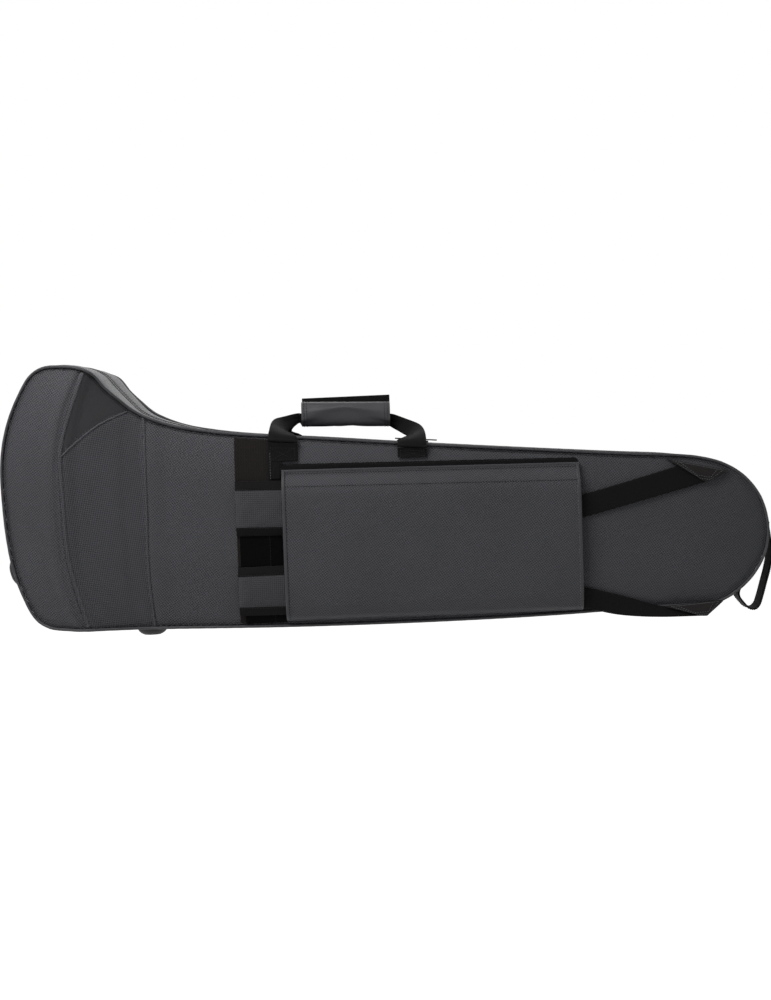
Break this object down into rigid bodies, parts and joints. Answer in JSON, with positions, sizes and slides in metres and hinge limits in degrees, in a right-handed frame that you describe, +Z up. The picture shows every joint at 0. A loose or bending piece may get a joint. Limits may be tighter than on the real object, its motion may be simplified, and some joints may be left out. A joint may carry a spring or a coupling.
{
  "type": "trombone case",
  "caption": "Soft-sided foam-core trombone case: flared bell end, zipped lid, swinging carry handles, padded straps under a cover flap, end grab loop and a fitted insert.",
  "frame": {"origin": "middle of the bounding box in X and Y, on the surface that the feet stand on", "axes": "+X from the bell end to the slide end, +Y from the strap side to the lid side, +Z up"},
  "size_m": [0.9275, 0.248, 0.3297],
  "materials": {
    "shell_fabric": "matte coated nylon with a fine diamond weave",
    "piping": "tight dark piping with a slight sheen",
    "zip_tape": "woven zip tape with its coil",
    "webbing": "black nylon webbing, matte",
    "panel_webbing": "wide brownish black webbing, ribbed across",
    "pad_fabric": "soft grey mesh over foam",
    "hook_and_loop": "black hook-and-loop tape",
    "foot_rubber": "moulded black rubber",
    "plush_lining": "short plush over foam",
    "zip_metal": "black enamel, satin",
    "buckle_plastic": "black moulded plastic"
  },
  "bodies": {
    "base": {"base_shell": "shell_fabric", "base_piping": "piping", "base_zip_tape": "zip_tape", "base_hinge_tape": "webbing", "base_foot_bell": "foot_rubber", "base_foot_slide": "foot_rubber", "base_foot_heel": "foot_rubber", "strap_panel": "panel_webbing", "shoulder_pad_upper": "pad_fabric", "shoulder_pad_lower": "pad_fabric", "strap_adjuster_upper": "buckle_plastic", "strap_adjuster_lower": "buckle_plastic", "strap_upper": "webbing", "strap_lower": "webbing", "anchor_tab_upper": "panel_webbing", "anchor_tab_lower": "panel_webbing", "hook_strip": "hook_and_loop", "base_handle_leg_bell": "webbing", "base_handle_leg_slide": "webbing", "end_handle_patch_upper": "webbing", "end_handle_patch_lower": "webbing", "end_handle": "webbing", "base_insert": "plush_lining"},
    "lid": {"lid_shell": "shell_fabric", "lid_piping": "piping", "lid_zip_tape": "zip_tape", "lid_hinge_tape": "webbing", "lid_foot_bell": "foot_rubber", "lid_foot_slide": "foot_rubber", "lid_foot_heel": "foot_rubber", "lid_handle_leg_bell": "webbing", "lid_handle_leg_slide": "webbing", "lid_insert": "plush_lining", "slide_retainer_1": "webbing", "slide_retainer_2": "webbing"},
    "base_handle": {"base_handle_loop": "webbing", "grip_wrap": "shell_fabric", "grip_tongue": "hook_and_loop"},
    "grip_cover": {"grip_flap": "shell_fabric"},
    "lid_handle": {"lid_handle_loop": "webbing"},
    "strap_cover": {"cover_flap": "shell_fabric", "loop_strip": "hook_and_loop"},
    "slider_bell": {"zip_slider_bell": "zip_metal"},
    "pull_bell": {"zip_pull_bell": "zip_metal"},
    "slider_slide": {"zip_slider_slide": "zip_metal"},
    "pull_slide": {"zip_pull_slide": "zip_metal"},
    "bin_lid": {"bin_cover": "plush_lining"}
  },
  "joints": [
    {"name": "lid_hinge", "type": "hinge", "parent": "base", "child": "lid", "pos_m": [0, 0, 0.0035], "axis": [-1, 0, 0], "range_deg": [0, 160]},
    {"name": "base_handle_swing", "type": "hinge", "parent": "base", "child": "base_handle", "pos_m": [-0.12517, -0.08745, 0.22778], "axis": [0.9967, 0.0338, -0.0744], "range_deg": [0, 125]},
    {"name": "grip_cover_hinge", "type": "hinge", "parent": "base_handle", "child": "grip_cover", "pos_m": [-0.09956, -0.01661, 0.27737], "axis": [-0.9997, 0, 0.0245], "range_deg": [0, 110]},
    {"name": "lid_handle_swing", "type": "hinge", "parent": "lid", "child": "lid_handle", "pos_m": [-0.12517, 0.08745, 0.22778], "axis": [-0.9967, 0.0338, 0.0744], "range_deg": [0, 125]},
    {"name": "strap_cover_hinge", "type": "hinge", "parent": "base", "child": "strap_cover", "pos_m": [-0.12864, -0.08315, 0.012], "axis": [0.9994, 0.035, 0], "range_deg": [0, 85]},
    {"name": "zip_slide_bell", "type": "slide", "parent": "base", "child": "slider_bell", "axis": [0.9971, 0, -0.0764], "range_m": [-0.155, 0]},
    {"name": "zip_pull_bell_hinge", "type": "hinge", "parent": "slider_bell", "child": "pull_bell", "pos_m": [0.02609, 0, 0.22431], "axis": [0, 1, 0], "range_deg": [0, 100]},
    {"name": "zip_slide_slide", "type": "slide", "parent": "base", "child": "slider_slide", "axis": [0.9971, 0, -0.0764], "range_m": [0, 0.24]},
    {"name": "zip_pull_slide_hinge", "type": "hinge", "parent": "slider_slide", "child": "pull_slide", "pos_m": [0.04189, 0, 0.2231], "axis": [0, -1, 0], "range_deg": [0, 100]},
    {"name": "bin_cover_hinge", "type": "hinge", "parent": "base", "child": "bin_lid", "pos_m": [0.2992, -0.0077, 0.044], "axis": [-1, 0, 0], "range_deg": [0, 90]}
  ]
}
